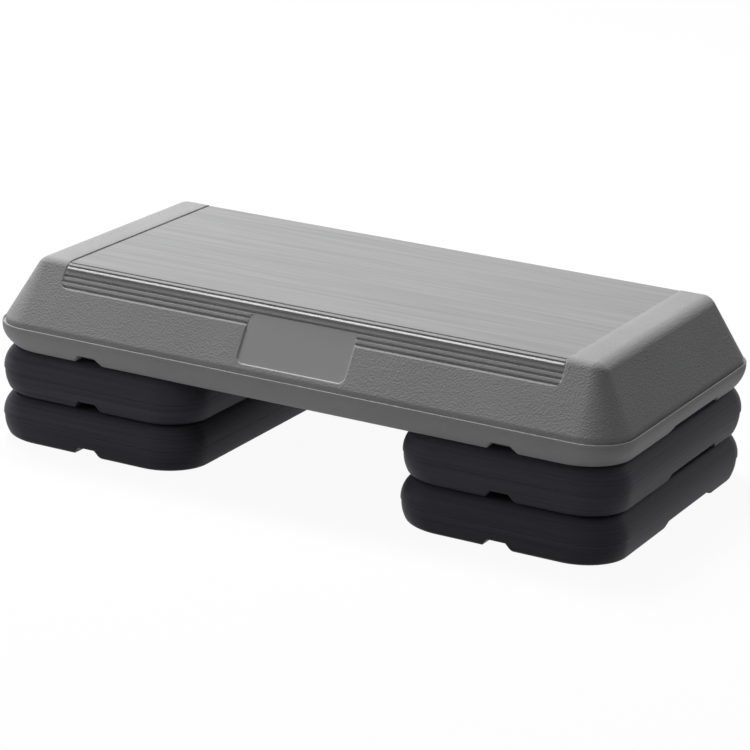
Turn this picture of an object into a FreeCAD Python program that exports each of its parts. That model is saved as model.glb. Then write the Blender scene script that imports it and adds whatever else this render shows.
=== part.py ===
import FreeCAD, Part
import math
import os

# Aerobic step: a hollow moulded platform with an inlaid mat, on two stacks of two hollow risers.
# +X runs along the platform, +Y to its rear and +Z up. The origin is on the floor, under the middle.
# Every length is in millimetres.

# Platform: outside
PLATFORM_LENGTH = 724.0
PLATFORM_DEPTH = 373.0
UPPER_HEIGHT = 71.5         # from the parting line up to the end bands
SKIRT_HEIGHT = 24.0         # from the parting line down to the underside
PLATFORM_CORNER = 46.0      # plan radius at the parting line
TOP_CORNER = 18.0           # plan radius at the top
END_WALL_LEAN = 39.5        # how far an end wall leans in on its way up
LONG_WALL_LEAN = 42.5       # how far a long wall leans in on its way up
TOP_EDGE_RADIUS = 12.0      # rounding between the walls and the top
RIM_LEDGE = 1.6             # width of the small ledge above the parting line
RIM_HEIGHT = 2.6
RIM_ROUND = 1.0
SKIRT_CURVE = 33.0          # radius of the skirt's inward curve

# Tread: mat recess and ribbed long edges
TREAD_LENGTH = 572.0
STRIP_OVERRUN = 1.0         # how far a ribbed strip runs past each end of the mat
MAT_SETBACK = 2.0           # from the long wall's top, before it is rounded, to the mat's recess
MAT_THICKNESS = 3.0
MAT_FIT = 0.4               # side clearance of the mat in its recess
MAT_EDGE_ROUND = 0.8
TREAD_DROP = 1.2            # how far the mat lies below the end bands
STRIP_DROP = 0.8            # how far a ribbed strip lies below the wall round it
TREAD_END_ROUND = 9.0       # rounding of the ribbed strip's lower corners
FINE_GROOVES = 2
FINE_GROOVE_RADIUS = 0.9
FINE_GROOVE_START = 4.6     # from the mat's recess, along the skin
FINE_GROOVE_PITCH = 4.6
COARSE_GROOVES = 3
COARSE_GROOVE_RADIUS = 1.8
COARSE_GROOVE_START = 15.7
COARSE_GROOVE_PITCH = 6.0
RIB_MARGIN = 1.0            # from the last groove to the strip's lower edge

# Bare plate recess in the middle of each long wall
PLATE_WIDTH = 124.0
PLATE_FOOT = 11.3           # height of its lower edge above the parting line
PLATE_TOP = 16.2            # its upper edge, measured along the skin from the mat's recess
PLATE_DEPTH = 1.6
PLATE_CORNER = 8.0

# Walls of the hollow mouldings
SHELL_WALL = 4.0
CROWN_EASE = 10.0           # how far the hollow's top edge is eased
PARTING_LAND = 1.5          # straight band beside a parting line

# Risers
RISER_LENGTH = 246.0
RISER_RISE = 50.8           # what one riser adds to the height
RISER_END_SETBACK = 0.5     # from the platform's end to the riser's
RISER_SIDE_SETBACK = 3.0    # from the platform's long side to the riser's
RISER_CORNER = 46.0
RISER_LOWER_HALF = 24.0     # from the riser's underside to its parting line
RISER_UPPER_CURVE = 29.0
RISER_LOWER_CURVE = 44.0
RISER_PARTING_STEP = 1.0    # the lower half is this much smaller all round

# Stacking plateau on each riser, and the sockets that it fits
PLATEAU_INSET = 38.0        # from the riser's side to the plateau
PLATEAU_HEIGHT = 6.0
PLATEAU_CORNER = 18.0
PLATEAU_DRAFT = 1.5
PLATEAU_ROUND = 1.2
SOCKET_CLEARANCE = 1.2
SOCKET_HEADROOM = 2.0

# Notches in the lower edges
LONG_NOTCH_MOUTH = 34.0     # in the long sides, at the middle of each riser
LONG_NOTCH_HEIGHT = 9.0
LONG_NOTCH_RUN = 7.0        # length of each sloped end
END_NOTCH_MOUTH = 132.0     # in the outer ends
END_NOTCH_SHIFT = 26.0      # of its middle: to the rear at the right end, to the front at the left
END_NOTCH_HEIGHT = 8.5
END_NOTCH_RUN = 11.0
NOTCH_REACH = 24.0          # from the outside to a notch's back wall

# Cones moulded up from the platform's underside until they meet its top wall
CONE_FOOT_RADIUS = 19.0
CONE_TIP_RADIUS = 11.0
CONE_SPACING = 72.0
SOCKET_CONE_COLUMNS = 2     # over each socket
SOCKET_CONE_ROWS = 3
MIDDLE_CONE_COLUMNS = 3     # between the sockets
MIDDLE_CONE_ROWS = 2

# Rubber feet
FOOT_RADIUS = 8.0
FOOT_PROUD = 1.5            # how far a foot stands out of its moulding
FOOT_SEAT = 2.0             # how deep its head is let in
FOOT_ROUND = 0.6
FOOT_INSET = 31.0           # from the riser's sides to the foot's centre
FOOT_FIT = 0.15             # radial clearance of head and stem
STEM_RADIUS = 3.0
STEM_LENGTH = 6.0
STEM_TIP_CLEARANCE = 0.5

# Places worked out from the sizes above
HALF_LENGTH = PLATFORM_LENGTH / 2
HALF_DEPTH = PLATFORM_DEPTH / 2
HALF_TREAD = TREAD_LENGTH / 2
HALF_STRIP = HALF_TREAD + STRIP_OVERRUN
HALF_MAT = HALF_DEPTH - LONG_WALL_LEAN - MAT_SETBACK
RISER_HALF_X = RISER_LENGTH / 2
RISER_HALF_Y = HALF_DEPTH - RISER_SIDE_SETBACK
RISER_CENTRE = HALF_LENGTH - RISER_END_SETBACK - RISER_HALF_X
RISER_UPPER_HALF = RISER_RISE - FOOT_PROUD - RISER_LOWER_HALF
PLATEAU_HALF_X = RISER_HALF_X - PLATEAU_INSET
PLATEAU_HALF_Y = RISER_HALF_Y - PLATEAU_INSET
SOCKET_HEIGHT = PLATEAU_HEIGHT + SOCKET_HEADROOM
FOOT_X = RISER_HALF_X - FOOT_INSET
FOOT_Y = RISER_HALF_Y - FOOT_INSET
STEM_HOLE_TOP = FOOT_PROUD + FOOT_SEAT + STEM_LENGTH + STEM_TIP_CLEARANCE
PLATFORM_FOOT_PLANE = -SKIRT_HEIGHT - FOOT_PROUD
TREAD_TOP = UPPER_HEIGHT - TREAD_DROP
HOLLOW_TOP = TREAD_TOP - MAT_THICKNESS - SHELL_WALL
OVERCUT = 2.0               # how far a cutter reaches past what it cuts
SAME = 1e-4

TIERS = {"lower": 0.0, "upper": RISER_RISE}
PLATFORM_PARTING_Z = len(TIERS) * RISER_RISE - PLATFORM_FOOT_PLANE
SIDES = {"left": -1, "right": 1}
ROWS = {"front": -1, "rear": 1}
ENDS = {"outer": 1, "inner": -1}

Vector = FreeCAD.Vector
UP = Vector(0, 0, 1)
ALONG = Vector(1, 0, 0)


# Basic shapes

def plan_wire(half_x, half_y, corner, z):
    """A rectangle with round corners, flat at height z."""
    edges = []
    previous = None
    first = None
    for turn, (sx, sy) in enumerate(((1, -1), (1, 1), (-1, 1), (-1, -1))):
        centre = Vector(sx * (half_x - corner), sy * (half_y - corner), z)
        angles = [math.radians(90 * turn - 90 + step) for step in (0, 45, 90)]
        start, middle, end = [
            centre + Vector(corner * math.cos(a), corner * math.sin(a), 0) for a in angles
        ]
        if previous is not None:
            edges.append(Part.LineSegment(previous, start).toShape())
        else:
            first = start
        edges.append(Part.Arc(start, middle, end).toShape())
        previous = end
    edges.append(Part.LineSegment(previous, first).toShape())
    return Part.Wire(edges)


def slab(half_x, half_y, corner, low, high):
    """An upright block with a rounded plan, from height low to high."""
    return Part.Face(plan_wire(half_x, half_y, corner, low)).extrude(UP * (high - low))


def leaning_block(*sections):
    """A block with straight leaning walls through (half_x, half_y, corner, z) sections."""
    return Part.makeLoft([plan_wire(*section) for section in sections], True, True)


def edges_at(shape, z):
    """The shape's edges that lie flat at height z."""
    return [
        edge
        for edge in shape.Edges
        if abs(edge.BoundBox.ZMin - z) < SAME and abs(edge.BoundBox.ZMax - z) < SAME
    ]


def cushion_half(half_x, half_y, corner, curve, height):
    """Half a moulding standing on its parting plane, with walls that curve inwards."""
    crown = PARTING_LAND + curve
    block = slab(half_x, half_y, corner, 0, crown)
    rounded = block.makeFillet(curve, edges_at(block, crown))
    return rounded.common(slab(half_x + OVERCUT, half_y + OVERCUT, corner, 0, height))


def upside_down(shape):
    """The shape mirrored in its parting plane."""
    return shape.mirror(Vector(0, 0, 0), UP)


def moved(shape, x=0.0, y=0.0, z=0.0):
    """A copy of the shape, moved."""
    copy = shape.copy()
    copy.translate(Vector(x, y, z))
    return copy


def half_turn(shape):
    """The shape turned half round about the upright through the origin."""
    copy = shape.copy()
    copy.rotate(Vector(0, 0, 0), UP, 180)
    return copy


def prism(points, sweep):
    """A straight prism on a closed polygon."""
    return Part.Face(Part.makePolygon(points + points[:1])).extrude(sweep)


# Details that platform and risers share. Each takes the height of the foot plane that it stands on.

def socket(grow, floor):
    """Room for a plateau: grow is extra room all round, as for the wall outside it."""
    room = SOCKET_CLEARANCE + grow
    return slab(
        PLATEAU_HALF_X + room,
        PLATEAU_HALF_Y + room,
        PLATEAU_CORNER + room,
        floor - OVERCUT,
        floor + SOCKET_HEIGHT + grow,
    )


def notch(mouth, height, run, grow, floor):
    """A notch with sloped ends, open below, that runs in along +Y from just before the origin."""
    low = floor + FOOT_PROUD
    high = low + height + grow
    half_mouth = mouth / 2 + grow
    half_roof = half_mouth - run
    points = [
        Vector(-half_mouth, -OVERCUT, floor - OVERCUT),
        Vector(half_mouth, -OVERCUT, floor - OVERCUT),
        Vector(half_mouth, -OVERCUT, low),
        Vector(half_roof, -OVERCUT, high),
        Vector(-half_roof, -OVERCUT, high),
        Vector(-half_mouth, -OVERCUT, low),
    ]
    return prism(points, Vector(0, OVERCUT + NOTCH_REACH + grow, 0))


def long_notches(half_y, grow, floor):
    """The notches in the front and rear sides."""
    cut = notch(LONG_NOTCH_MOUTH, LONG_NOTCH_HEIGHT, LONG_NOTCH_RUN, grow, floor)
    front = moved(cut, y=-half_y)
    return [front, front.mirror(Vector(0, 0, 0), Vector(0, 1, 0))]


def end_notch(end_x, grow, floor):
    """The wide notch in the end at +X."""
    cut = notch(END_NOTCH_MOUTH, END_NOTCH_HEIGHT, END_NOTCH_RUN, grow, floor)
    cut.rotate(Vector(0, 0, 0), UP, 90)
    return moved(cut, x=end_x, y=END_NOTCH_SHIFT)


def foot_places():
    """(name, x, y) of a riser's four feet, for a riser whose outer end is at +X."""
    return [
        (f"{row}_{end}", ENDS[end] * FOOT_X, ROWS[row] * FOOT_Y)
        for row in ROWS
        for end in ENDS
    ]


def foot_hole(floor):
    """The stepped hole that a foot's head and stem are pressed into."""
    head_top = FOOT_PROUD + FOOT_SEAT
    head = Part.makeCylinder(FOOT_RADIUS + FOOT_FIT, head_top + OVERCUT, Vector(0, 0, floor - OVERCUT))
    stem = Part.makeCylinder(STEM_RADIUS + FOOT_FIT, STEM_HOLE_TOP, Vector(0, 0, floor))
    return head.fuse(stem)


def foot_boss(floor):
    """The wall round a foot's hole."""
    radius = FOOT_RADIUS + FOOT_FIT + SHELL_WALL
    return Part.makeCylinder(radius, STEM_HOLE_TOP + SHELL_WALL, Vector(0, 0, floor))


def foot():
    """A rubber foot: a round head with a stem above it, standing on z = 0."""
    head_top = FOOT_PROUD + FOOT_SEAT
    head = Part.makeCylinder(FOOT_RADIUS, head_top)
    head = head.makeFillet(FOOT_ROUND, edges_at(head, 0))
    stem = Part.makeCylinder(STEM_RADIUS, STEM_LENGTH, Vector(0, 0, head_top))
    return head.fuse(stem).removeSplitter()


def cone(low, high, grow):
    """A cone moulded up from height low until its tip is at height high."""
    place = Vector(0, 0, low)
    return Part.makeCone(CONE_FOOT_RADIUS + grow, CONE_TIP_RADIUS + grow, high + grow - low, place)


def cone_grid(columns, rows):
    """Places of a centred grid of cones."""
    return [
        ((i - (columns - 1) / 2) * CONE_SPACING, (j - (rows - 1) / 2) * CONE_SPACING)
        for i in range(columns)
        for j in range(rows)
    ]


# Riser

def riser_hull(inset):
    """The riser's outside, or its hollow when inset by the wall, about its parting plane."""
    upper = cushion_half(
        RISER_HALF_X - inset,
        RISER_HALF_Y - inset,
        RISER_CORNER - inset,
        RISER_UPPER_CURVE - inset,
        RISER_UPPER_HALF - inset,
    )
    step = RISER_PARTING_STEP + inset
    lower = cushion_half(
        RISER_HALF_X - step,
        RISER_HALF_Y - step,
        RISER_CORNER - step,
        RISER_LOWER_CURVE - inset,
        RISER_LOWER_HALF - inset,
    )
    return upper.fuse(upside_down(lower))


def plateau():
    """The raised stacking pad on top of a riser, above its foot plane at z = 0."""
    top = RISER_RISE + PLATEAU_HEIGHT
    draft = PLATEAU_DRAFT
    pad = leaning_block(
        (PLATEAU_HALF_X, PLATEAU_HALF_Y, PLATEAU_CORNER, RISER_RISE - SHELL_WALL / 2),
        (PLATEAU_HALF_X - draft, PLATEAU_HALF_Y - draft, PLATEAU_CORNER - draft, top),
    )
    return pad.makeFillet(PLATEAU_ROUND, edges_at(pad, top))


def riser():
    """One hollow riser on the foot plane z = 0, its notched outer end at +X."""
    parting = FOOT_PROUD + RISER_LOWER_HALF
    top = RISER_RISE + PLATEAU_HEIGHT
    body = moved(riser_hull(0), z=parting).fuse(plateau())

    hollow = moved(riser_hull(SHELL_WALL), z=parting)
    pad_inset = PLATEAU_DRAFT + SHELL_WALL
    hollow = hollow.fuse(
        slab(
            PLATEAU_HALF_X - pad_inset,
            PLATEAU_HALF_Y - pad_inset,
            PLATEAU_CORNER - pad_inset,
            parting,
            top - SHELL_WALL,
        )
    )
    walls = [socket(SHELL_WALL, 0)]
    walls += long_notches(RISER_HALF_Y, SHELL_WALL, 0)
    walls += [end_notch(RISER_HALF_X, SHELL_WALL, 0)]
    walls += [moved(foot_boss(0), x, y) for _, x, y in foot_places()]
    hollow = hollow.cut(walls)

    openings = [socket(0, 0)]
    openings += long_notches(RISER_HALF_Y, 0, 0)
    openings += [end_notch(RISER_HALF_X, 0, 0)]
    openings += [moved(foot_hole(0), x, y) for _, x, y in foot_places()]
    return body.cut([hollow] + openings)


# Platform, about its parting plane at z = 0

def wall_lean(z):
    """How far the end walls and the long walls have leant in at height z, and the plan radius there."""
    share = max(0.0, (z - RIM_HEIGHT) / (UPPER_HEIGHT - RIM_HEIGHT))
    corner = PLATFORM_CORNER - RIM_LEDGE
    return (
        RIM_LEDGE + (END_WALL_LEAN - RIM_LEDGE) * share,
        RIM_LEDGE + (LONG_WALL_LEAN - RIM_LEDGE) * share,
        corner + (TOP_CORNER - corner) * share,
    )


def wall_section(z, inset=0.0):
    """The plan of the leaning walls at height z, inset by a wall thickness."""
    end_lean, long_lean, corner = wall_lean(z)
    return (HALF_LENGTH - end_lean - inset, HALF_DEPTH - long_lean - inset, corner - inset, z)


def platform_hull():
    """The platform's outside, before anything is cut from it."""
    upper = leaning_block(wall_section(RIM_HEIGHT), wall_section(UPPER_HEIGHT))
    upper = upper.makeFillet(TOP_EDGE_RADIUS, edges_at(upper, UPPER_HEIGHT))
    rim = slab(HALF_LENGTH, HALF_DEPTH, PLATFORM_CORNER, 0, RIM_HEIGHT)
    rim = rim.makeFillet(RIM_ROUND, edges_at(rim, RIM_HEIGHT))
    skirt = upside_down(cushion_half(HALF_LENGTH, HALF_DEPTH, PLATFORM_CORNER, SKIRT_CURVE, SKIRT_HEIGHT))
    return upper.fuse([rim, skirt])


def platform_hollow():
    """The air inside the platform, before the walls of its sockets and cones are taken from it."""
    break_z = HOLLOW_TOP - CROWN_EASE
    end_half, long_half, corner, _ = wall_section(HOLLOW_TOP, SHELL_WALL)
    crown = (end_half - CROWN_EASE, long_half - CROWN_EASE, corner, HOLLOW_TOP)
    upper = leaning_block(wall_section(0, SHELL_WALL), wall_section(break_z, SHELL_WALL), crown)
    lower = cushion_half(
        HALF_LENGTH - SHELL_WALL,
        HALF_DEPTH - SHELL_WALL,
        PLATFORM_CORNER - SHELL_WALL,
        SKIRT_CURVE - SHELL_WALL,
        SKIRT_HEIGHT - SHELL_WALL,
    )
    return upper.fuse(upside_down(lower))


# The skin of a long edge, in the YZ plane at the rear: flat top, rounded edge, leaning wall.
# A run is a distance along the skin from the mat's recess.

WALL_ANGLE = math.atan2(LONG_WALL_LEAN - RIM_LEDGE, UPPER_HEIGHT - RIM_HEIGHT)
EDGE_TURN = math.pi / 2 - WALL_ANGLE
EDGE_START_Y = HALF_DEPTH - LONG_WALL_LEAN - TOP_EDGE_RADIUS * math.tan(EDGE_TURN / 2)
EDGE_RUN_START = EDGE_START_Y - HALF_MAT
EDGE_RUN_END = EDGE_RUN_START + TOP_EDGE_RADIUS * EDGE_TURN


def skin(run, depth):
    """The point at a run along the rear skin, a depth below the surface."""
    turn = min(max((run - EDGE_RUN_START) / TOP_EDGE_RADIUS, 0.0), EDGE_TURN)
    radius = TOP_EDGE_RADIUS - depth
    straight = run - EDGE_RUN_START - turn * TOP_EDGE_RADIUS
    y = EDGE_START_Y + radius * math.sin(turn) + straight * math.cos(turn)
    z = UPPER_HEIGHT - TOP_EDGE_RADIUS + radius * math.cos(turn) - straight * math.sin(turn)
    return Vector(0, y, z)


def run_at(z):
    """The run at which the leaning wall has height z."""
    wall_start = skin(EDGE_RUN_END, 0)
    return EDGE_RUN_END + (wall_start.z - z) / math.cos(WALL_ANGLE)


def skin_path(start, end, depth):
    """The skin's edges from one run to another, a depth below the surface."""
    stops = [start] + [bend for bend in (EDGE_RUN_START, EDGE_RUN_END) if start < bend < end] + [end]
    edges = []
    for a, b in zip(stops, stops[1:]):
        middle = (a + b) / 2
        if EDGE_RUN_START < middle < EDGE_RUN_END:
            edges.append(Part.Arc(skin(a, depth), skin(middle, depth), skin(b, depth)).toShape())
        else:
            edges.append(Part.LineSegment(skin(a, depth), skin(b, depth)).toShape())
    return edges


def stencil(half_x, low, corner):
    """A window that runs along +Y, with its lower corners rounded and its top above the platform."""
    high = UPPER_HEIGHT + 2 * OVERCUT
    c = corner * (1 - math.sqrt(0.5))
    points = [
        Vector(-half_x, 0, high),
        Vector(-half_x, 0, low + corner),
        Vector(-half_x + corner, 0, low),
        Vector(half_x - corner, 0, low),
        Vector(half_x, 0, low + corner),
        Vector(half_x, 0, high),
    ]
    edges = [
        Part.LineSegment(points[0], points[1]).toShape(),
        Part.Arc(points[1], Vector(-half_x + c, 0, low + c), points[2]).toShape(),
        Part.LineSegment(points[2], points[3]).toShape(),
        Part.Arc(points[3], Vector(half_x - c, 0, low + c), points[4]).toShape(),
        Part.LineSegment(points[4], points[5]).toShape(),
        Part.LineSegment(points[5], points[0]).toShape(),
    ]
    return Part.Face(Part.Wire(edges)).extrude(Vector(0, HALF_DEPTH, 0))


def sunk_area(start, low, half_x, depth, corner):
    """What is taken off the rear skin, from run start down to height low, within half_x of the middle."""
    end = run_at(low) + OVERCUT
    inner = skin_path(start, end, depth)
    outer = skin_path(start, end, -OVERCUT)
    joins = [
        Part.LineSegment(skin(run, depth), skin(run, -OVERCUT)).toShape()
        for run in (start, end)
    ]
    face = Part.Face(Part.Wire(Part.__sortEdges__(inner + outer + joins)))
    band = moved(face, x=-half_x).extrude(ALONG * (2 * half_x))
    return band.common(stencil(half_x, low, corner))


def groove(run, radius, from_x, to_x):
    """A round groove along X, centred on the sunk skin."""
    place = skin(run, STRIP_DROP) + ALONG * from_x
    return Part.makeCylinder(radius, to_x - from_x, place, ALONG)


def rear_ribs():
    """What is cut from the rear edge: the sunk strip, its grooves and the bare plate."""
    last_groove = COARSE_GROOVE_START + (COARSE_GROOVES - 1) * COARSE_GROOVE_PITCH
    strip_foot = skin(last_groove + COARSE_GROOVE_RADIUS + RIB_MARGIN, 0).z
    half_plate = PLATE_WIDTH / 2
    cuts = [
        sunk_area(-OVERCUT, strip_foot, HALF_STRIP, STRIP_DROP, TREAD_END_ROUND),
        sunk_area(PLATE_TOP, PLATE_FOOT, half_plate, PLATE_DEPTH, PLATE_CORNER),
    ]
    for i in range(FINE_GROOVES):
        run = FINE_GROOVE_START + i * FINE_GROOVE_PITCH
        cuts.append(groove(run, FINE_GROOVE_RADIUS, -HALF_STRIP, HALF_STRIP))
    for i in range(COARSE_GROOVES):
        run = COARSE_GROOVE_START + i * COARSE_GROOVE_PITCH
        reach = HALF_STRIP - TREAD_END_ROUND * i / COARSE_GROOVES
        cuts.append(groove(run, COARSE_GROOVE_RADIUS, -reach, -half_plate))
        cuts.append(groove(run, COARSE_GROOVE_RADIUS, half_plate, reach))
    return cuts


def platform_shell():
    """The hollow platform, with its tread, sockets, notches, cones and foot holes."""
    floor = PLATFORM_FOOT_PLANE
    hollow_cuts = []
    openings = []
    cone_tip = HOLLOW_TOP - SHELL_WALL
    for x, y in cone_grid(MIDDLE_CONE_COLUMNS, MIDDLE_CONE_ROWS):
        openings.append(moved(cone(-SKIRT_HEIGHT - OVERCUT, cone_tip, 0), x, y))
        hollow_cuts.append(moved(cone(-SKIRT_HEIGHT - OVERCUT, cone_tip, SHELL_WALL), x, y))
    for side in SIDES.values():
        centre = side * RISER_CENTRE
        openings.append(moved(socket(0, floor), centre))
        hollow_cuts.append(moved(socket(SHELL_WALL, floor), centre))
        openings += [moved(cut, centre) for cut in long_notches(HALF_DEPTH, 0, floor)]
        hollow_cuts += [moved(cut, centre) for cut in long_notches(HALF_DEPTH, SHELL_WALL, floor)]
        for cuts, grow in ((openings, 0), (hollow_cuts, SHELL_WALL)):
            cut = end_notch(HALF_LENGTH, grow, floor)
            cuts.append(cut if side > 0 else half_turn(cut))
        for x, y in cone_grid(SOCKET_CONE_COLUMNS, SOCKET_CONE_ROWS):
            openings.append(moved(cone(floor + SOCKET_HEIGHT, cone_tip, 0), centre + x, y))
            hollow_cuts.append(moved(cone(floor + SOCKET_HEIGHT, cone_tip, SHELL_WALL), centre + x, y))
        for _, x, y in foot_places():
            openings.append(moved(foot_hole(floor), centre + side * x, y))
            hollow_cuts.append(moved(foot_boss(floor), centre + side * x, y))
    rear = rear_ribs()
    openings += rear
    openings += [cut.mirror(Vector(0, 0, 0), Vector(0, 1, 0)) for cut in rear]
    openings.append(
        Part.makeBox(
            TREAD_LENGTH,
            2 * HALF_MAT,
            MAT_THICKNESS + TREAD_DROP + OVERCUT,
            Vector(-HALF_TREAD, -HALF_MAT, TREAD_TOP - MAT_THICKNESS),
        )
    )
    hollow = platform_hollow().cut(hollow_cuts)
    return platform_hull().cut([hollow] + openings)


def tread_mat():
    """The inlaid sheet, lying on the floor of its recess."""
    mat = Part.makeBox(
        TREAD_LENGTH - 2 * MAT_FIT,
        2 * (HALF_MAT - MAT_FIT),
        MAT_THICKNESS,
        Vector(-HALF_TREAD + MAT_FIT, -HALF_MAT + MAT_FIT, TREAD_TOP - MAT_THICKNESS),
    )
    return mat.makeFillet(MAT_EDGE_ROUND, edges_at(mat, TREAD_TOP))


# Put the pieces in place

def build():
    """Every piece where it belongs, by node name."""
    nodes = {
        "platform_shell": moved(platform_shell(), z=PLATFORM_PARTING_Z),
        "tread_mat": moved(tread_mat(), z=PLATFORM_PARTING_Z),
    }
    right_riser = riser()
    risers = {"right": right_riser, "left": half_turn(right_riser)}
    one_foot = foot()
    platform_foot_z = PLATFORM_PARTING_Z + PLATFORM_FOOT_PLANE
    for side, sign in SIDES.items():
        centre = sign * RISER_CENTRE
        for place, x, y in foot_places():
            nodes[f"platform_{side}_foot_{place}"] = moved(one_foot, centre + sign * x, y, platform_foot_z)
        for tier, z in TIERS.items():
            nodes[f"{side}_{tier}_riser"] = moved(risers[side], centre, 0, z)
            for place, x, y in foot_places():
                nodes[f"{side}_{tier}_foot_{place}"] = moved(one_foot, centre + sign * x, y, z)
    return nodes


os.makedirs("parts", exist_ok=True)
for name, shape in build().items():
    solid = shape.Solids[0] if len(shape.Solids) == 1 else shape
    solid.exportStep(f"parts/{name}.step")
    box = solid.BoundBox
    print(
        f"{name}: {len(shape.Solids)} solid, valid {solid.isValid()}, {solid.Volume / 1000:.1f} cm3, "
        f"{box.XLength:.1f} x {box.YLength:.1f} x {box.ZLength:.1f} mm, top {box.ZMax:.1f}"
    )
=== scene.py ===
# %% [markdown]
# # An aerobic step, dressed in Blender
# The step is a hollow grey platform with an inlaid mat. It stands on two stacks of charcoal risers.
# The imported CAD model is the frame: it says where every piece is and what moves with what.
# This lesson gives the mouldings their soft edges and their finishes, then lights them as for a catalogue.

# %% Load the frame
import math
import bmesh
import bpy
import numpy as np
from mathutils import Matrix


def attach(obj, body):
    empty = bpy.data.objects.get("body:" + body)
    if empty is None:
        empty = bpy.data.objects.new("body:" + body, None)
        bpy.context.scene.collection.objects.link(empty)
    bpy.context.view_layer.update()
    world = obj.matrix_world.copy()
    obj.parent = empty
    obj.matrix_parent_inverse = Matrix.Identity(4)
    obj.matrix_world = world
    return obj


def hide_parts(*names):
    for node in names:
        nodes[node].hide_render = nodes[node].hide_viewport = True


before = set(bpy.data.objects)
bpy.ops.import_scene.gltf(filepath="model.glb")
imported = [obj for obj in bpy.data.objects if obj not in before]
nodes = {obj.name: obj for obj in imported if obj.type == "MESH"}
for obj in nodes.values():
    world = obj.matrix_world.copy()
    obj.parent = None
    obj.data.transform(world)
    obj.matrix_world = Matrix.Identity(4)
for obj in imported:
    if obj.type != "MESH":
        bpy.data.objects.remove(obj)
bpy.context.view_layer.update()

# %% [markdown]
# ## Camera
# A catalogue photograph of a long, low object is taken from well back with a long lens, so that its lines
# stay almost parallel. The camera here was fitted to the straight edges: 27 degrees round to the right,
# 18 degrees above the horizon, with a small roll. It looks at a point given in metres.

# %% Place the camera
TURN, LIFT, ROLL = (math.radians(angle) for angle in (27.179, 17.920, 2.475))
DISTANCE = 3.260
ASIDE, ABOVE = 0.0027, -0.0363
PARTING_HEIGHT = 0.1271
FOCAL_PIXELS, FRAME_PIXELS, SENSOR = 3102.1, 750, 36.0

back = np.array([math.sin(TURN) * math.cos(LIFT), -math.cos(TURN) * math.cos(LIFT), math.sin(LIFT)])
level = np.array([math.cos(TURN), math.sin(TURN), 0.0])
upright = np.cross(back, level)
right = math.cos(ROLL) * level + math.sin(ROLL) * upright
up = math.cos(ROLL) * upright - math.sin(ROLL) * level
eye = back * DISTANCE + right * ASIDE + up * ABOVE + np.array([0, 0, PARTING_HEIGHT])

camera_data = bpy.data.cameras.new("camera")
camera_data.sensor_width = SENSOR
camera_data.lens = FOCAL_PIXELS / FRAME_PIXELS * SENSOR
camera = bpy.data.objects.new("camera", camera_data)
bpy.context.scene.collection.objects.link(camera)
camera.matrix_world = Matrix(np.vstack([np.column_stack([right, up, back, eye]), [0, 0, 0, 1]]).tolist())
bpy.context.scene.camera = camera
print("camera at", np.round(eye, 3).tolist(), "lens", round(camera_data.lens, 1), "mm")

# %% [markdown]
# ## Rings and meshes
# Every moulding here is a stack of rounded rectangles, one inside or below the other. So each is worked out
# as a grid: one row per ring and one column per place round the ring. All rings of a moulding share their
# columns, and a column keeps its x or y on the straight sides, so that a cut with straight sides follows a
# column. A CAD fillet could do the same, but on a grid each edge can be as soft as a moulded one is.

# %% Ring and mesh helpers
MM = 0.001


def both_ways(places):
    """The given positive places, their negatives and zero, in order, with a far stop at each end."""
    places = np.unique(np.round(np.concatenate(places), 3))
    return np.concatenate([[-1000], -places[::-1], [0], places, [1000]])


def ring(half_x, half_y, corner, columns, centre=0.0):
    """A rounded rectangle: straight sides clipped to their ends, then quarter turns of the corner radius."""
    along_x, along_y, turn = columns
    side_x, side_y = half_x - corner, half_y - corner
    xs, ys = np.clip(along_x, -side_x, side_x), np.clip(along_y, -side_y, side_y)
    cos, sin = corner * np.cos(turn), corner * np.sin(turn)
    half = np.concatenate([
        np.stack([xs, np.full(len(xs), -half_y)], -1),
        np.stack([side_x + sin, -side_y - cos], -1),
        np.stack([np.full(len(ys), half_x), ys], -1),
        np.stack([side_x + cos, side_y + sin], -1),
    ])
    return np.concatenate([half, -half]) + [centre, 0]


def at_height(plan, z):
    """The ring's plan points with a height, which may be one number or one per column."""
    return np.column_stack([plan, np.broadcast_to(z, len(plan))])


def quads(rows, columns, first):
    """Corner numbers of the faces of a grid that closes on itself along its rows."""
    i, j = np.meshgrid(np.arange(rows - 1), np.arange(columns), indexing="ij")
    k = (j + 1) % columns
    corners = [i * columns + j, (i + 1) * columns + j, (i + 1) * columns + k, i * columns + k]
    return first + np.stack(corners, -1).reshape(-1, 4)


def moulding(name, body, replaced, grids, grain=None):
    """One mesh from several grids of points in millimetres, stitched where they meet."""
    points = np.concatenate([grid.reshape(-1, 3) for grid in grids]) * MM
    firsts = np.cumsum([0] + [grid.shape[0] * grid.shape[1] for grid in grids])
    faces = np.concatenate([quads(*grid.shape[:2], first) for grid, first in zip(grids, firsts)])
    mesh = bpy.data.meshes.new(name)
    mesh.from_pydata(points.tolist(), [], faces.tolist())
    value = np.zeros(len(points), np.float32)
    if grain is not None:
        value[: grain.size] = grain.ravel()
    mesh.attributes.new("grain", "FLOAT", "POINT").data.foreach_set("value", value)
    work = bmesh.new()
    work.from_mesh(mesh)
    bmesh.ops.remove_doubles(work, verts=work.verts, dist=2e-6)
    bmesh.ops.dissolve_degenerate(work, edges=work.edges, dist=1e-6)
    work.to_mesh(mesh)
    work.free()
    mesh.shade_smooth()
    mesh.set_sharp_from_angle(angle=math.radians(35))
    piece = bpy.data.objects.new(name, mesh)
    bpy.context.scene.collection.objects.link(piece)
    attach(piece, body)
    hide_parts(replaced)
    print(name, "has", len(mesh.polygons), "faces")
    return piece


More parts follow.
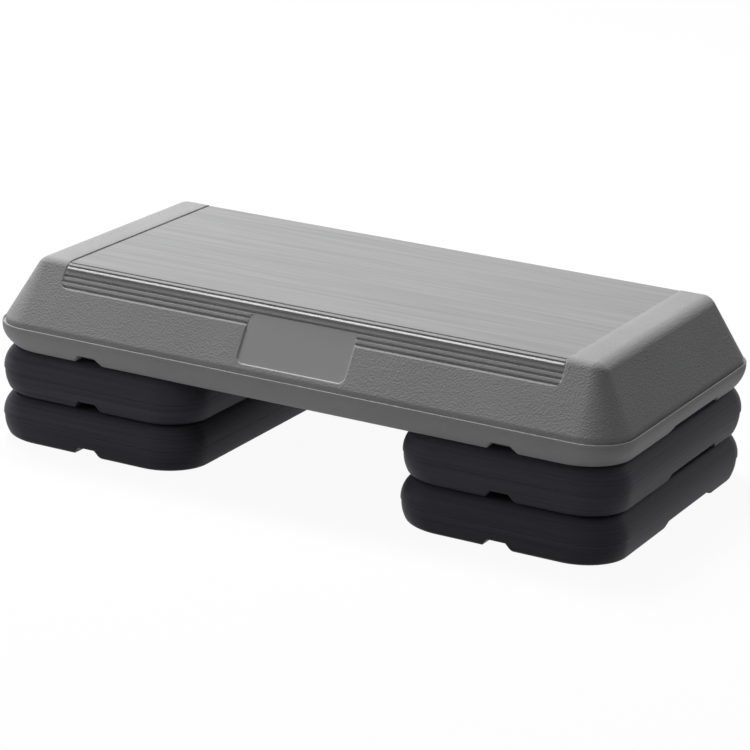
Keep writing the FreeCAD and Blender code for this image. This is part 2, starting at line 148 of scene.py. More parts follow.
# %% [markdown]
# ## Edges, notches and cones
# Three shapes come back on every moulding. A wall bulges out to the parting line, as blown plastic does: a
# large arc with a small one that rolls it over into the flat. A notch in the lower edge lifts the surface to
# a flat roof with sloped ends. Under the platform, cones are pushed up until they touch the top wall and
# carry it. All three are written once here, as formulas on whole rows.

# %% Shared shapes
def bulge(land, curve, roll, height, steps=10):
    """Inset and rise of a wall: straight for the land, then an arc of the curve's radius, then the roll's.

    The roll's centre lies one roll radius below the height, where both arcs meet smoothly.
    """
    meet = math.asin((height - roll - land) / (curve - roll))
    first = np.linspace(0, meet, steps)
    second = np.linspace(meet, math.pi / 2, steps)[1:]
    middle = curve - (curve - roll) * math.cos(meet)
    inset = np.concatenate([[0], curve - curve * np.cos(first), middle - roll * np.cos(second)])
    rise = np.concatenate([[0], land + curve * np.sin(first), height - roll + roll * np.sin(second)])
    return inset, rise


def softer_maximum(a, b, width):
    """The larger of two heights, blended over a width so that their crease is rounded."""
    blend = np.clip(0.5 + 0.5 * (a - b) / width, 0, 1)
    return b + (a - b) * blend + width * blend * (1 - blend)


def roof(distance, half_mouth, run, height):
    """A notch's roof above the lower edge: full height in the middle, sloping to nothing over the run."""
    return np.clip((half_mouth - np.abs(distance)) / run, 0, 1) * height


CONE_FOOT, CONE_TIP, CONE_ROUND, CONE_SPACING = 19.0, 11.0, 1.0, 72.0
CELL = CONE_SPACING / 2
ROUND_CELL = np.linspace(0, 2 * np.pi, 48, endpoint=False)


def cone_cell(x, y, low, high):
    """A square of underside round one cone: square, circle, cone wall, tip and centre, as five rings."""
    cos, sin = np.cos(ROUND_CELL), np.sin(ROUND_CELL)
    square = CELL / np.maximum(np.abs(cos), np.abs(sin))
    radii = (CONE_FOOT, CONE_TIP + CONE_ROUND, CONE_TIP - CONE_ROUND, 0.0)
    radius = np.stack([square, *(np.full_like(square, r) for r in radii)])
    height = np.array([low, low, high - CONE_ROUND, high, high])[:, None]
    return np.stack([x + radius * cos, y + radius * sin, np.broadcast_to(height, radius.shape)], -1)


def cone_cells(centre, columns, rows, low, high):
    """All cells of a centred grid of cones."""
    xs = centre + (np.arange(columns) - (columns - 1) / 2) * CONE_SPACING
    ys = (np.arange(rows) - (rows - 1) / 2) * CONE_SPACING
    return [cone_cell(x, y, low, high) for x in xs for y in ys]


NOTCH_REACH, NOTCH_ROOM = 24.0, 0.05
LONG_NOTCH = (17.0, 7.0, 9.0)
END_NOTCH = (66.0, 11.0, 8.5)
END_NOTCH_SHIFT = 26.0
LAND = 1.5
print("notches: long", LONG_NOTCH, "and end", END_NOTCH, "as half mouth, run and height in mm")

# %% [markdown]
# ## Risers
# A riser is one hollow blow-moulded block with a cushion-shaped wall. Its two mould halves meet in a parting
# line half way up, where the lower half is a little smaller. On top is a plateau that locks into the socket
# of whatever stands on it. Turned rings give all of it in one skin, from the middle of the plateau, over the
# shoulder and down the wall, to the socket underneath. The feet stay as they are in the CAD model.

# %% Riser sizes and columns
RISER_HALF = (123.0, 183.5)
RISER_CORNER = 46.0
RISER_CENTRE = 238.5
FOOT_GAP = 1.5
LOWER_HALF, UPPER_HALF = 24.0, 25.3
RISER_PITCH = FOOT_GAP + LOWER_HALF + UPPER_HALF
LOWER_CURVE, UPPER_CURVE = 60.0, 29.0
LOWER_ROLL, UPPER_ROLL = 6.0, 8.0
PARTING_STEP, CORNER_GROWTH = 1.0, 0.5
PLATEAU = (85.0, 145.5)
PLATEAU_CORNER, PLATEAU_HEIGHT, PLATEAU_DRAFT = 18.0, 6.0, 1.5
PLATEAU_SHARES, PLATEAU_INNER_CORNER, PLATEAU_ROUND = (0.0, 0.5, 0.9), 17.0, 1.2
PLATEAU_FOOT_INSETS, PLATEAU_FOOT_RISES = np.array([0.6, -0.4, -1.4]), np.array([1.6, 0.5, 0.0])
SEAM_DEPTH, SEAM_RISES, NOTCH_SOFTNESS = 0.35, (0.7, 0.35, -0.1, -0.5), 0.7
UNDERSIDE_START, UNDERSIDE_END, NOTCH_BACK = 18.0, 30.0, 0.4
SOCKET_ROOM, SOCKET_HEIGHT = 1.2, 8.0
RISER_COLUMNS = (
    both_ways([np.linspace(8, 19, 23), np.linspace(22, 62, 5)]),
    both_ways([np.linspace(8, 20, 3), np.linspace(27, 42, 31), np.linspace(50, 72, 4),
               np.linspace(79, 94, 31), np.linspace(102, 130, 4)]),
    np.linspace(0, math.pi / 2, 26)[1:-1],
)


def plateau_rows(columns):
    """The plateau from its middle out: flat top, rounded edge, side with draft, and the flat shoulder."""
    shoulder = RISER_PITCH
    top = shoulder + PLATEAU_HEIGHT
    rows = []
    for share in PLATEAU_SHARES:
        sizes = [size * share for size in (*PLATEAU, PLATEAU_INNER_CORNER)]
        rows.append(at_height(ring(*sizes, columns), top))
    turn = np.linspace(0, math.pi / 2, 6)
    inset = np.concatenate([PLATEAU_DRAFT + PLATEAU_ROUND * (1 - np.sin(turn)), PLATEAU_FOOT_INSETS])
    height = np.concatenate([top - PLATEAU_ROUND * (1 - np.cos(turn)), shoulder + PLATEAU_FOOT_RISES])
    for i, z in zip(inset, height):
        rows.append(at_height(ring(PLATEAU[0] - i, PLATEAU[1] - i, PLATEAU_CORNER - i, columns), z))
    return rows


def wall_rows(columns):
    """The wall from the shoulder down, with a fine seam half way. Below the seam the corners grow rounder."""
    parting = FOOT_GAP + LOWER_HALF
    upper_inset, upper_rise = bulge(LAND, UPPER_CURVE, UPPER_ROLL, UPPER_HALF)
    lower_inset, lower_rise = bulge(LAND, LOWER_CURVE, LOWER_ROLL, LOWER_HALF)
    seam_inset = [0.0, SEAM_DEPTH, SEAM_DEPTH + PARTING_STEP, PARTING_STEP]
    inset = np.concatenate([upper_inset[:0:-1], seam_inset, PARTING_STEP + lower_inset[1:]])
    height = parting + np.concatenate([upper_rise[:0:-1], SEAM_RISES, -lower_rise[1:]])
    corner = RISER_CORNER - inset
    corner[-len(lower_inset) + 1:] += (1 + CORNER_GROWTH) * lower_inset[1:]
    rows = []
    for i, z, radius in zip(inset, height, corner):
        rows.append(notched(ring(RISER_HALF[0] - i, RISER_HALF[1] - i, radius, columns), z))
    return rows


def notched(plan, z):
    """A row at height z, lifted to the notches' roofs near the middle of the front, rear and outer end."""
    x, y = plan.T
    on_long = np.abs(y) > RISER_HALF[1] - NOTCH_REACH - NOTCH_ROOM
    on_end = x > RISER_HALF[0] - NOTCH_REACH - NOTCH_ROOM
    lift = np.where(on_long, roof(x, *LONG_NOTCH), 0)
    lift = lift + np.where(on_end & ~on_long, roof(y - END_NOTCH_SHIFT, *END_NOTCH), 0)
    lifted = softer_maximum(np.full(len(plan), z), FOOT_GAP + lift, NOTCH_SOFTNESS)
    return at_height(plan, np.where(lift > 0, lifted, z))


def underside_rows(columns):
    """The underside from the notches' back walls to the socket, up its wall and over its flat ceiling."""
    rows = []
    for i in (UNDERSIDE_START, NOTCH_REACH, NOTCH_REACH + NOTCH_BACK, UNDERSIDE_END):
        rows.append(notched(ring(RISER_HALF[0] - i, RISER_HALF[1] - i, RISER_CORNER - i, columns), FOOT_GAP))
    socket = (PLATEAU[0] + SOCKET_ROOM, PLATEAU[1] + SOCKET_ROOM, PLATEAU_CORNER + SOCKET_ROOM)
    rows.append(at_height(ring(*socket, columns), FOOT_GAP))
    rows.append(at_height(ring(*socket, columns), SOCKET_HEIGHT))
    rows.append(at_height(ring(0, 0, 0, columns), SOCKET_HEIGHT))
    return rows


riser_skin = np.stack(plateau_rows(RISER_COLUMNS) + wall_rows(RISER_COLUMNS) + underside_rows(RISER_COLUMNS))
print("a riser's skin has", riser_skin.shape[0], "rings of", riser_skin.shape[1], "points")

# %% Set the four risers in place
risers = []
for side, sign in (("left", -1), ("right", 1)):
    for tier, z in (("lower", 0.0), ("upper", RISER_PITCH)):
        place = np.array([sign * RISER_CENTRE, 0, z])
        grids = [riser_skin * [sign, sign, 1] + place]
        node = f"{side}_{tier}_riser"
        risers.append(moulding(node + "_skin", f"{side}_{tier}", node, grids))

# %% [markdown]
# ## Platform
# The platform's walls lean in and roll over into the top. Along both long edges the skin is sunk for a ribbed
# strip, with fine grooves near the mat and coarse ones lower down, and in the middle of each long wall is a
# bare plate. A boolean could cut these, but the sunk shapes follow the rolled edge, so it is simpler to lay
# the grid along the skin and push its points in by a depth that depends on x and on the run down the skin.

# %% Platform sizes and columns
HALF = (362.0, 186.5)
CORNER, TOP_CORNER, FLAT_CORNER = 46.0, 11.0, 0.02
TOP, RIM, LEDGE, SKIRT = 71.5, 2.6, 1.6, 24.0
END_LEAN, LONG_LEAN = 39.5, 42.5
END_ROLL, LONG_ROLL = 18.0, 12.0
MAT_HALF, FLAT_HALF = (286.0, 142.0), (286.0, 136.0)
MAT_THICKNESS, TREAD_DROP = 3.0, 1.2
PLATFORM_COLUMNS = (
    both_ways([
        np.linspace(12, 48, 3), np.linspace(51.5, 64.5, 19), np.linspace(75, 210, 5),
        np.linspace(219.5, 230.5, 9), np.linspace(234, 243, 3), np.linspace(246.5, 257.5, 9),
        np.linspace(262, 273, 3), np.linspace(275, 291, 31), [285.97, 286.03], np.linspace(294, 308, 4),
    ]),
    both_ways([np.linspace(8, 20, 3), np.linspace(27, 42, 13), np.linspace(50, 72, 3),
               np.linspace(79, 94, 13), np.linspace(102, 132, 4)]),
    np.linspace(0, math.pi / 2, 26)[1:-1],
)

rim_plan = ring(*HALF, CORNER, PLATFORM_COLUMNS)
outward = at_height(ring(HALF[0] + 1, HALF[1] + 1, CORNER + 1, PLATFORM_COLUMNS) - rim_plan, 0)
foot_ring = at_height(rim_plan, RIM) - outward * LEDGE
top_ring = at_height(ring(HALF[0] - END_LEAN, HALF[1] - LONG_LEAN, TOP_CORNER, PLATFORM_COLUMNS), TOP)
flat_ring = at_height(ring(*FLAT_HALF, FLAT_CORNER, PLATFORM_COLUMNS), TOP)
long_side = np.abs(outward[:, 1]) > 0.9999
beside_mat = long_side & (np.abs(top_ring[:, 0]) < MAT_HALF[0])
print("platform rings have", len(top_ring), "points,", long_side.sum(), "of them on the long sides")

# %% [markdown]
# The rolled edge is an arc that touches the flat top and the leaning wall. Where both directions are known,
# the arc is a quadratic curve with a weight: its two ends lie one tangent length from the sharp corner, and
# the weight is the sine of half the corner's angle. That holds on the sides and round the corners alike, so
# the roll can grow from a tight one on the long sides to a broader one on the ends. The mat reaches out over
# the start of the roll, so the rows begin a little inside its edge, and all runs count from there.

# %% The skin before anything is sunk
UP = np.array([0, 0, 1.0])


def unit(vectors):
    """Each row scaled to length one."""
    return vectors / np.linalg.norm(vectors, axis=1, keepdims=True)


inward, downward = -outward, unit(foot_ring - top_ring)
corner_angle = np.arccos(np.clip((inward * downward).sum(1), -1, 1))[:, None]
edge_turn = math.pi - corner_angle
edge_roll = LONG_ROLL + (END_ROLL - LONG_ROLL) * outward[:, :1] ** 2
tangent = edge_roll * np.tan(edge_turn / 2)
flat_end, wall_start = top_ring + inward * tangent, top_ring + downward * tangent
front_middle = len(PLATFORM_COLUMNS[0]) // 2
LONG_TURN = float(edge_turn[front_middle, 0])
flat_length = np.linalg.norm(flat_end - flat_ring, axis=1)
FLAT_RUN = float(flat_length[front_middle])
EDGE_RUN = FLAT_RUN + LONG_ROLL * LONG_TURN
MAT_RUN = FLAT_RUN + LONG_ROLL * math.asin((MAT_HALF[1] - FLAT_HALF[1] - FLAT_RUN) / LONG_ROLL)
WALL_RUN = EDGE_RUN + float(np.linalg.norm(foot_ring - wall_start, axis=1)[front_middle])


def skin_row(run):
    """All columns at one run: along the flat, then round the rolled edge, then down the leaning wall."""
    if run <= FLAT_RUN:
        return flat_ring + (flat_end - flat_ring) * (run / FLAT_RUN)
    if run >= EDGE_RUN:
        return wall_start + (foot_ring - wall_start) * ((run - EDGE_RUN) / (WALL_RUN - EDGE_RUN))
    turned = edge_turn * (run - FLAT_RUN) / (EDGE_RUN - FLAT_RUN)
    share = np.sin(turned / 2) / (np.sin(turned / 2) + np.sin((edge_turn - turned) / 2))
    pull = 2 * share * (1 - share) * np.sin(corner_angle / 2)
    weight = (1 - share) ** 2 + pull + share ** 2
    return ((1 - share) ** 2 * flat_end + pull * top_ring + share ** 2 * wall_start) / weight


def skin_normal(run):
    """The direction out of the skin at one run, turned from upright towards each column's outside."""
    turn = edge_turn * np.clip((run - FLAT_RUN) / (EDGE_RUN - FLAT_RUN), 0, 1)
    return UP * np.cos(turn) + outward * np.sin(turn)


print("runs of flat, mat, edge and wall:", np.round([FLAT_RUN, MAT_RUN, EDGE_RUN, WALL_RUN], 1).tolist())

# %% [markdown]
# The strip and the plate are rounded rectangles on the unrolled skin. Their signed distance tells how far a
# point is inside, and a short ramp on that distance gives the moulded edge. A fine groove's depth is that of
# a circle centred on the sunk skin. A coarse groove drops steeply and comes back on a slope that faces up, so
# it shows a dark line with a light one below. Two wedge-shaped ribs lie beside the mat, and the lower one is
# shiny. Under the mat the rows drop to the floor of its recess. Down at the rim, every wall turns upright for
# its last few millimetres, which draws a dark line above the ledge.

# %% What is sunk into the skin
STRIP_HALF, STRIP_END_ROUND, STRIP_DROP = 287.0, 9.0, 0.8
STRIP_TAPER, TAPER_MIDDLE, TAPER_LENGTH = 1.0, 6.0, 12.0
STRIP_EDGE, PLATE_EDGE, GROOVE_END, GROOVE_END_EDGE = 1.2, 1.4, 1.2, 1.6
PLATE_HALF, PLATE_FOOT, PLATE_DEPTH, PLATE_ROUND = 62.0, 11.3, 1.6, 8.0
FINE_RUNS, FINE_RADIUS = (MAT_RUN + 0.4, MAT_RUN + 5.2, MAT_RUN + 9.8), 0.7
COARSE_RUNS = (MAT_RUN + 15.4, MAT_RUN + 21.4, MAT_RUN + 27.4)
COARSE_SHAPE, COARSE_DEPTHS = (-1.4, -0.2, 0.2, 2.2), (0.0, 2.4, 2.4, 0.0)
RIB_STARTS, RIB_CRESTS, RIB_ENDS = (1.1, 5.8), (4.5, 8.4), (4.8, 9.3)
RIB_RISES = (1.0, 1.3)
SHINE_PLACES, SHINE = (4.9, 5.5, 8.8, 9.8), (0.1, 1.0, 1.0, 0.4)
LIP_ROUND = 0.8
FOOT_RISE, FOOT_DIP, FOOT_POWER = 6.0, 2.2, 1.6
PLATE_TOP_RUN = MAT_RUN + 16.2
PLATE_FOOT_RUN = WALL_RUN - (PLATE_FOOT - RIM) / math.sin(LONG_TURN)
STRIP_TOP_RUN, STRIP_FOOT_RUN = -40.0, MAT_RUN + 30.5
RECESS_FLOOR = TOP - TREAD_DROP - MAT_THICKNESS


def inside(x, run, half, top, foot, corner):
    """How far a point lies inside a rounded rectangle on the unrolled skin, in millimetres."""
    across = np.abs(x) - half + corner
    along = np.abs(run - (top + foot) / 2) - (foot - top) / 2 + corner
    outside = np.hypot(np.maximum(across, 0), np.maximum(along, 0))
    return corner - outside - np.minimum(np.maximum(across, along), 0)


def ramp(distance, width):
    """A smooth step from 0 to 1 as the distance goes from minus half the width to plus half of it."""
    t = np.clip(distance / width + 0.5, 0, 1)
    return t * t * (3 - 2 * t)


def hollow(run, middle, radius):
    """Depth of a round groove at a run: the half chord of its circle."""
    return math.sqrt(max(radius ** 2 - (run - middle) ** 2, 0))


def ribs_beside_mat(run):
    """Rise of the two ribs beside the mat: wedges with a slow climb to a crest and a quick drop behind it."""
    return sum(
        np.interp(run - MAT_RUN, (start, crest, end), (0.0, rise, 0.0))
        for start, crest, end, rise in zip(RIB_STARTS, RIB_CRESTS, RIB_ENDS, RIB_RISES)
    )


def sunk(x, run):
    """Depth below the wall at each x of the long sides for one run, and how smooth the plastic is there."""
    half = STRIP_HALF - STRIP_TAPER * (1 - ramp(run - MAT_RUN - TAPER_MIDDLE, TAPER_LENGTH))
    strip = ramp(inside(x, run, half, STRIP_TOP_RUN, STRIP_FOOT_RUN, STRIP_END_ROUND), STRIP_EDGE)
    plate = ramp(inside(x, run, PLATE_HALF, PLATE_TOP_RUN, PLATE_FOOT_RUN, PLATE_ROUND), PLATE_EDGE)
    fine = sum(hollow(run, groove, FINE_RADIUS) for groove in FINE_RUNS)
    coarse = sum(np.interp(run - groove, COARSE_SHAPE, COARSE_DEPTHS) for groove in COARSE_RUNS)
    reach = ramp(half - GROOVE_END - np.abs(x), GROOVE_END_EDGE) * strip
    depth = STRIP_DROP * strip + reach * (fine - ribs_beside_mat(run) + coarse)
    shine = np.interp(run - MAT_RUN, SHINE_PLACES, SHINE)
    return depth * (1 - plate) + PLATE_DEPTH * plate, np.maximum(strip * shine, plate)


def dressed_row(run):
    """One row of the finished upper skin, with its grain in the last column."""
    row = skin_row(run)
    depth, smooth = sunk(row[:, 0], run)
    depth, smooth = depth * long_side, smooth * long_side
    from_mat = np.where(long_side, LIP_ROUND, flat_length * run / FLAT_RUN)
    depth = depth + LIP_ROUND * (1 - np.minimum(from_mat / LIP_ROUND, 1)) ** 2
    upright = max(0, 1 - (WALL_RUN - run) / FOOT_RISE) ** FOOT_POWER * FOOT_DIP
    row = row - skin_normal(run) * depth[:, None] - outward * upright
    if run < MAT_RUN:
        row[beside_mat, 2] = RECESS_FLOOR
    return np.column_stack([row, 1 - smooth])


runs = np.unique(np.round(np.concatenate([
    np.linspace(0, 0.04, 3), np.linspace(0.04, FLAT_RUN, 4), np.linspace(FLAT_RUN, MAT_RUN - 0.02, 5),
    np.linspace(MAT_RUN + 0.02, MAT_RUN + 1.2, 6), np.linspace(MAT_RUN + 1.2, MAT_RUN + 4.4, 4),
    np.linspace(MAT_RUN + 4.4, MAT_RUN + 10.8, 25), np.linspace(MAT_RUN + 10.8, MAT_RUN + 13.2, 3),
    np.linspace(MAT_RUN + 13.2, MAT_RUN + 32, 48), np.linspace(MAT_RUN + 32, 66, 5),
    np.linspace(66, 78, 17), np.linspace(78, WALL_RUN, 12),
]), 4))
upper = np.stack([dressed_row(run) for run in runs])
print("upper skin:", len(upper), "rows; plate runs", np.round([PLATE_TOP_RUN, PLATE_FOOT_RUN], 1).tolist())

# %% [markdown]
# Below the walls runs a fine groove with the rounded lip of the rim, then the parting line and the skirt. It
# curves in, with corners that grow rounder towards its lower edge, and that edge has the same notches as the
# risers below it. Underneath are two sockets for the upper risers and, between them, a patch of cones.

# %% Rim, skirt and underside of the platform
def skirt_row(inset, z, growth=-1.0):
    """A ring of the rim, skirt or underside, lifted to the notches' roofs. Its corner follows the inset."""
    plan = ring(HALF[0] - inset, HALF[1] - inset, CORNER + growth * inset, PLATFORM_COLUMNS)
    x, y = plan.T
    on_long = np.abs(y) > HALF[1] - NOTCH_REACH - NOTCH_ROOM
    on_end = np.abs(x) > HALF[0] - NOTCH_REACH - NOTCH_ROOM
    lift = np.where(on_long, roof(np.abs(x) - RISER_CENTRE, *LONG_NOTCH), 0)
    lift = lift + np.where(on_end & ~on_long, roof(np.sign(x) * y - END_NOTCH_SHIFT, *END_NOTCH), 0)
    lifted = softer_maximum(np.full(len(plan), z), lift - SKIRT, NOTCH_SOFTNESS)
    return at_height(plan, np.where(lift > 0, lifted, z))


LIP_DROP, SKIRT_CURVE, SKIRT_ROLL, SKIRT_UNDER = 2.0, 33.0, 4.0, 19.0
SEAM_INSETS, SEAM_HEIGHTS = (0.0, 0.5, 0.5), (0.45, 0.15, -0.15)
GROOVE_INSETS, LIP_RADIUS = (1.8, 1.5), 1.0
turn = np.linspace(0, math.pi / 2, 5)
groove = upper[-1, :, :3] - UP * LIP_DROP
skirt_inset, skirt_drop = bulge(LAND, SKIRT_CURVE, SKIRT_ROLL, SKIRT, 9)
lip_inset, lip_height = LIP_RADIUS * (1 - np.sin(turn)), RIM - LIP_RADIUS * (1 - np.cos(turn))
rim_inset = np.concatenate([GROOVE_INSETS, lip_inset, SEAM_INSETS])
rim_height = np.concatenate([[RIM - LIP_DROP, RIM - LIP_DROP / 2], lip_height, SEAM_HEIGHTS])
lower = [groove] + [skirt_row(i, z) for i, z in zip(rim_inset, rim_height)]
lower += [skirt_row(i, -z, CORNER_GROWTH) for i, z in zip(skirt_inset[1:], skirt_drop[1:])]
lower += [skirt_row(i, -SKIRT) for i in (SKIRT_UNDER, NOTCH_REACH, NOTCH_REACH + NOTCH_BACK)]
BLOCK_Y, BLOCK_END, BLOCK_INNER, SQUARE_CORNER = 154.0, 331.0, 130.0, 0.01
SKIRT_GRAIN, CONE_ROOF = 0.7, 8.0
lower.append(at_height(ring(BLOCK_END, BLOCK_Y, SQUARE_CORNER, PLATFORM_COLUMNS), -SKIRT))
recess = at_height(flat_ring[:, :2], RECESS_FLOOR)
recess_floor = at_height(ring(0, 0, 0, PLATFORM_COLUMNS), RECESS_FLOOR)
platform_skin = np.concatenate([np.stack([recess_floor, recess]), upper[:, :, :3], np.stack(lower)])
grain = np.full(platform_skin.shape[:2], SKIRT_GRAIN)
grain[2:2 + len(upper)] = upper[:, :, 3]

UNDER_COLUMNS = (
    both_ways([np.linspace(10, 60, 6)]), both_ways([np.linspace(10, 100, 8)]), RISER_COLUMNS[2],
)
CEILING = -SKIRT - FOOT_GAP + SOCKET_HEIGHT
CONE_TOP = RECESS_FLOOR - CONE_ROOF
under = []
for sign in (-1, 1):
    centre = sign * RISER_CENTRE
    socket = (PLATEAU[0] + SOCKET_ROOM, PLATEAU[1] + SOCKET_ROOM, PLATEAU_CORNER + SOCKET_ROOM)
    block = ((BLOCK_END - BLOCK_INNER) / 2, BLOCK_Y, SQUARE_CORNER)
    under.append(np.stack([
        at_height(ring(*block, UNDER_COLUMNS, sign * (BLOCK_END + BLOCK_INNER) / 2), -SKIRT),
        at_height(ring(*socket, UNDER_COLUMNS, centre), -SKIRT),
        at_height(ring(*socket, UNDER_COLUMNS, centre), CEILING),
        at_height(ring(2 * CELL, 3 * CELL, SQUARE_CORNER, UNDER_COLUMNS, centre), CEILING),
    ]))
    under += cone_cells(centre, 2, 3, CEILING, CONE_TOP)
under.append(np.stack([
    at_height(ring(BLOCK_INNER, BLOCK_Y, SQUARE_CORNER, UNDER_COLUMNS), -SKIRT),
    at_height(ring(3 * CELL, 2 * CELL, SQUARE_CORNER, UNDER_COLUMNS), -SKIRT),
]))
under += cone_cells(0.0, 3, 2, -SKIRT, CONE_TOP)
raised = np.array([0, 0, PARTING_HEIGHT / MM])
platform = moulding(
    "platform_skin", "platform", "platform_shell",
    [grid + raised for grid in [platform_skin] + under], grain,
)

# %% [markdown]
# ## Finishes
# The platform is grey plastic with a fine leather grain on its walls and end bands, and smoother, shinier
# plastic in the strips and the plates. The grain is a bump from a cell pattern of about two millimetres. The
# mesh carries a value, the grain, that fades the bump out and sharpens the shine where the plastic is smooth.

# %% Material helpers
def new_material(name):
    """A node material, with its shader and a function that adds and wires a node."""
    material = bpy.data.materials.new(name)
    material.use_nodes = True
    tree = material.node_tree
    shader = tree.nodes["Principled BSDF"]

    def add(kind, values=(), **links):
        node = tree.nodes.new(kind)
        for key, value in dict(values).items():
            if isinstance(key, int) or key in node.inputs:
                node.inputs[key].default_value = value
            else:
                setattr(node, key, value)
        for key, source in links.items():
            tree.links.new(source, node.inputs[key])
        return node

    return material, tree, shader, add


def pattern(add, kind, place, values):
    """A texture on the object's own coordinates."""
    return add(kind, values, Vector=place)


def shade_between(add, source, low, high):
    """A grey or tinted colour ramp between two colours, driven by the middle part of a pattern's range."""
    node = add("ShaderNodeValToRGB", {}, Fac=source)
    for stop, place, colour in zip(node.color_ramp.elements, (0.3, 0.7), (low, high)):
        stop.position = place
        stop.color = (*colour, 1)
    return node.outputs["Color"]


# %% Grained platform plastic
plastic, tree, shader, add = new_material("platform_plastic")
place = add("ShaderNodeTexCoord").outputs["Object"]
GRAIN_SCALE = 520.0
cells = {"feature": "SMOOTH_F1", "Scale": GRAIN_SCALE, "Smoothness": 0.5}
pebbles = pattern(add, "ShaderNodeTexVoronoi", place, cells)
flecks = pattern(add, "ShaderNodeTexNoise", place, {"Scale": 700.0, "Detail": 2.0})
drift = pattern(add, "ShaderNodeTexNoise", place, {"Scale": 14.0, "Detail": 3.0})
amount = add("ShaderNodeAttribute", {"attribute_name": "grain"}).outputs["Fac"]
depth = add("ShaderNodeMath", {"operation": "MULTIPLY_ADD", 1: 0.85, 2: 0.15})
tree.links.new(amount, depth.inputs[0])
rough_height = add("ShaderNodeMath", {"operation": "MULTIPLY"})
tree.links.new(pebbles.outputs["Distance"], rough_height.inputs[0])
tree.links.new(depth.outputs[0], rough_height.inputs[1])
coarse_bump = add("ShaderNodeBump", {"Strength": 0.75, "Distance": 0.0005}, Height=rough_height.outputs[0])
fine_bump = add("ShaderNodeBump", {"Strength": 0.2, "Distance": 0.0004}, Height=flecks.outputs["Fac"],
                Normal=coarse_bump.outputs["Normal"])
tree.links.new(fine_bump.outputs["Normal"], shader.inputs["Normal"])
tree.links.new(shade_between(add, drift.outputs["Fac"], (0.47, 0.47, 0.473), (0.505, 0.505, 0.508)),
               shader.inputs["Base Color"])
for socket, smooth, grained in (("Roughness", 0.32, 0.7), ("Specular IOR Level", 0.5, 0.22)):
    spread = add("ShaderNodeMapRange", {"To Min": smooth, "To Max": grained}, Value=amount)
    tree.links.new(spread.outputs["Result"], shader.inputs[socket])
platform.data.materials.append(plastic)
print("grain cells of about", round(1 / (GRAIN_SCALE * MM), 1), "mm")

# %% [markdown]
# The mat is a sheet of the same grey with a fine stipple, and faint streaks along its length from the rolls
# that made it. The streaks come from noise that is stretched along x by a Mapping node. The risers are
# charcoal with a slight violet cast and a satin surface, drawn into faint level streaks in the mould. The
# feet are plain black rubber with a dusty bloom.

# %% Mat, riser and foot finishes
mat, tree, shader, add = new_material("mat_rubber")
place = add("ShaderNodeTexCoord").outputs["Object"]
stretched = add("ShaderNodeMapping", {"Scale": (5.0, 160.0, 1.0)}, Vector=place).outputs["Vector"]
streaks = pattern(add, "ShaderNodeTexNoise", stretched, {"Scale": 1.0, "Detail": 4.0, "Roughness": 0.6})
stipple = pattern(add, "ShaderNodeTexNoise", place, {"Scale": 900.0, "Detail": 1.0})
bump = add("ShaderNodeBump", {"Strength": 0.18, "Distance": 0.0004}, Height=stipple.outputs["Fac"])
tree.links.new(bump.outputs["Normal"], shader.inputs["Normal"])
tree.links.new(shade_between(add, streaks.outputs["Fac"], (0.365, 0.365, 0.367), (0.46, 0.46, 0.462)),
               shader.inputs["Base Color"])
shader.inputs["Roughness"].default_value = 0.7
shader.inputs["Specular IOR Level"].default_value = 0.3
nodes["tread_mat"].data.materials.clear()
nodes["tread_mat"].data.materials.append(mat)

charcoal, tree, shader, add = new_material("riser_plastic")
place = add("ShaderNodeTexCoord").outputs["Object"]
stretched = add("ShaderNodeMapping", {"Scale": (3.0, 3.0, 240.0)}, Vector=place).outputs["Vector"]
streaks = pattern(add, "ShaderNodeTexNoise", stretched, {"Scale": 1.0, "Detail": 4.0, "Roughness": 0.65})
speckle = pattern(add, "ShaderNodeTexNoise", place, {"Scale": 1200.0, "Detail": 2.0})
bump = add("ShaderNodeBump", {"Strength": 0.1, "Distance": 0.0003}, Height=speckle.outputs["Fac"])
tree.links.new(bump.outputs["Normal"], shader.inputs["Normal"])
tree.links.new(shade_between(add, streaks.outputs["Fac"], (0.060, 0.058, 0.071), (0.106, 0.103, 0.126)),
               shader.inputs["Base Color"])
shader.inputs["Roughness"].default_value = 0.5
shader.inputs["Specular IOR Level"].default_value = 0.1
for piece in risers:
    piece.data.materials.append(charcoal)

rubber, tree, shader, add = new_material("foot_rubber")
place = add("ShaderNodeTexCoord").outputs["Object"]
bloom = pattern(add, "ShaderNodeTexNoise", place, {"Scale": 300.0, "Detail": 4.0})
bump = add("ShaderNodeBump", {"Strength": 0.2, "Distance": 0.0003}, Height=bloom.outputs["Fac"])
tree.links.new(bump.outputs["Normal"], shader.inputs["Normal"])
tree.links.new(shade_between(add, bloom.outputs["Fac"], (0.010, 0.010, 0.010), (0.022, 0.022, 0.022)),
               shader.inputs["Base Color"])
shader.inputs["Roughness"].default_value = 0.8
feet = [name for name in nodes if "_foot_" in name]
for name in feet:
    nodes[name].data.materials.clear()
    nodes[name].data.materials.append(rubber)
print("finished", len(risers), "risers and", len(feet), "feet")

# %% [markdown]
# ## Floor and light
# The photograph is a cut-out on white with light from the upper left: the top is brightest, the front is in
# half light and the right end is darkest. One large soft lamp high on the left, a little behind the object,
# gives that, and it draws the bright line on the rib beside the mat. A weak wide lamp at the front left, a
# dim sky and the light that a pale floor throws back fill the shadows. The floor and the sky show as white
# to the camera and in reflections, and the floor keeps a faint shadow.

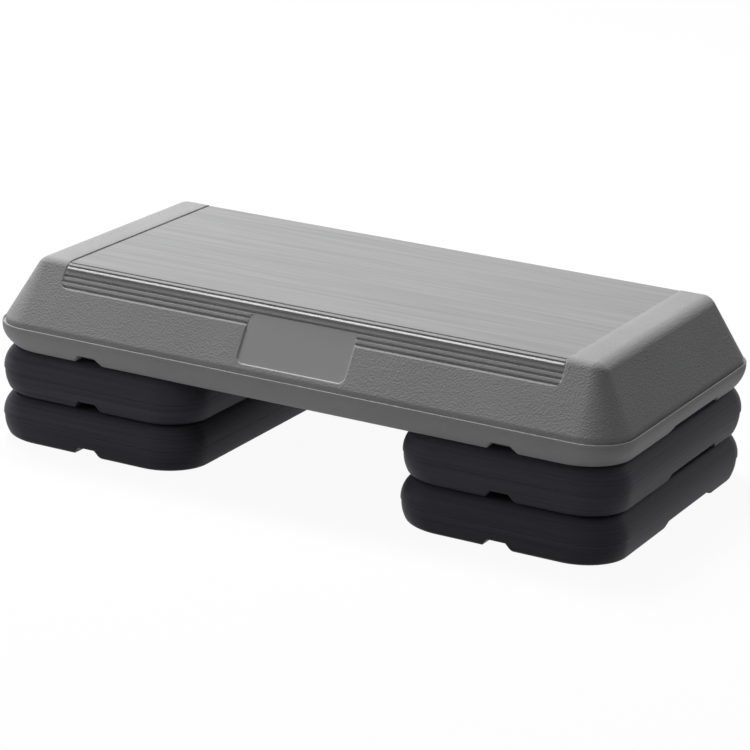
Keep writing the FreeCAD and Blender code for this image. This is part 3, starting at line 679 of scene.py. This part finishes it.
# %% Stage
def shown_directly(tree):
    """One for rays from the camera, in a reflection or through glass, and zero for rays that bring light."""
    path = tree.nodes.new("ShaderNodeLightPath")
    total = path.outputs["Is Camera Ray"]
    for kind in ("Is Glossy Ray", "Is Transmission Ray"):
        either = tree.nodes.new("ShaderNodeMath")
        either.operation = "MAXIMUM"
        tree.links.new(total, either.inputs[0])
        tree.links.new(path.outputs[kind], either.inputs[1])
        total = either.outputs[0]
    return total


bpy.context.scene.view_settings.view_transform = "Standard"
world = bpy.data.worlds.new("studio")
bpy.context.scene.world = world
world.use_nodes = True
tree = world.node_tree
dim, white = tree.nodes["Background"], tree.nodes.new("ShaderNodeBackground")
dim.inputs["Color"].default_value = (1, 1, 1, 1)
dim.inputs["Strength"].default_value = 0.055
white.inputs["Color"].default_value = (1, 1, 1, 1)
white.inputs["Strength"].default_value = 1.0
pick = tree.nodes.new("ShaderNodeMixShader")
tree.links.new(shown_directly(tree), pick.inputs["Fac"])
tree.links.new(dim.outputs[0], pick.inputs[1])
tree.links.new(white.outputs[0], pick.inputs[2])
tree.links.new(pick.outputs[0], tree.nodes["World Output"].inputs["Surface"])

floor_mesh = bpy.data.meshes.new("floor")
reach = 12.0
corners = np.array([[-1, -1, 0], [1, -1, 0], [1, 1, 0], [-1, 1, 0]]) * reach - [0, 0, 0.0002]
floor_mesh.from_pydata(corners.tolist(), [], [[0, 1, 2, 3]])
floor = bpy.data.objects.new("floor", floor_mesh)
bpy.context.scene.collection.objects.link(floor)
paper, tree, shader, add = new_material("floor_paper")
shown = add("ShaderNodeEmission", {"Strength": 0.94})
lit = add("ShaderNodeBsdfDiffuse", {"Color": (0.07, 0.07, 0.07, 1)})
seen = add("ShaderNodeAddShader")
tree.links.new(shown.outputs[0], seen.inputs[0])
tree.links.new(lit.outputs[0], seen.inputs[1])
bounce = add("ShaderNodeBsdfDiffuse", {"Color": (0.35, 0.35, 0.35, 1)})
choose = add("ShaderNodeMixShader", {}, Fac=shown_directly(tree))
tree.links.new(bounce.outputs[0], choose.inputs[1])
tree.links.new(seen.outputs[0], choose.inputs[2])
tree.links.new(choose.outputs[0], tree.nodes["Material Output"].inputs["Surface"])
floor_mesh.materials.append(paper)


def lamp(name, place, aim, size, power):
    """A square soft lamp that faces its aim."""
    data = bpy.data.lights.new(name, "AREA")
    data.shape = "SQUARE"
    data.size = size
    data.energy = power
    thing = bpy.data.objects.new(name, data)
    bpy.context.scene.collection.objects.link(thing)
    away = np.array(place, float) - aim
    away /= np.linalg.norm(away)
    side = np.cross([0, 0, 1], away)
    side /= np.linalg.norm(side)
    axes = np.column_stack([side, np.cross(away, side), away, place])
    thing.matrix_world = Matrix(np.vstack([axes, [0, 0, 0, 1]]).tolist())
    return thing


AIM = np.array([0, 0, 0.12])
lamps = [
    lamp("key", (-1.5, 0.95, 3.3), AIM, 1.8, 132),
    lamp("front", (-1.9, -2.1, 1.0), AIM, 1.6, 7),
]
print("lamps:", [thing.name for thing in lamps])
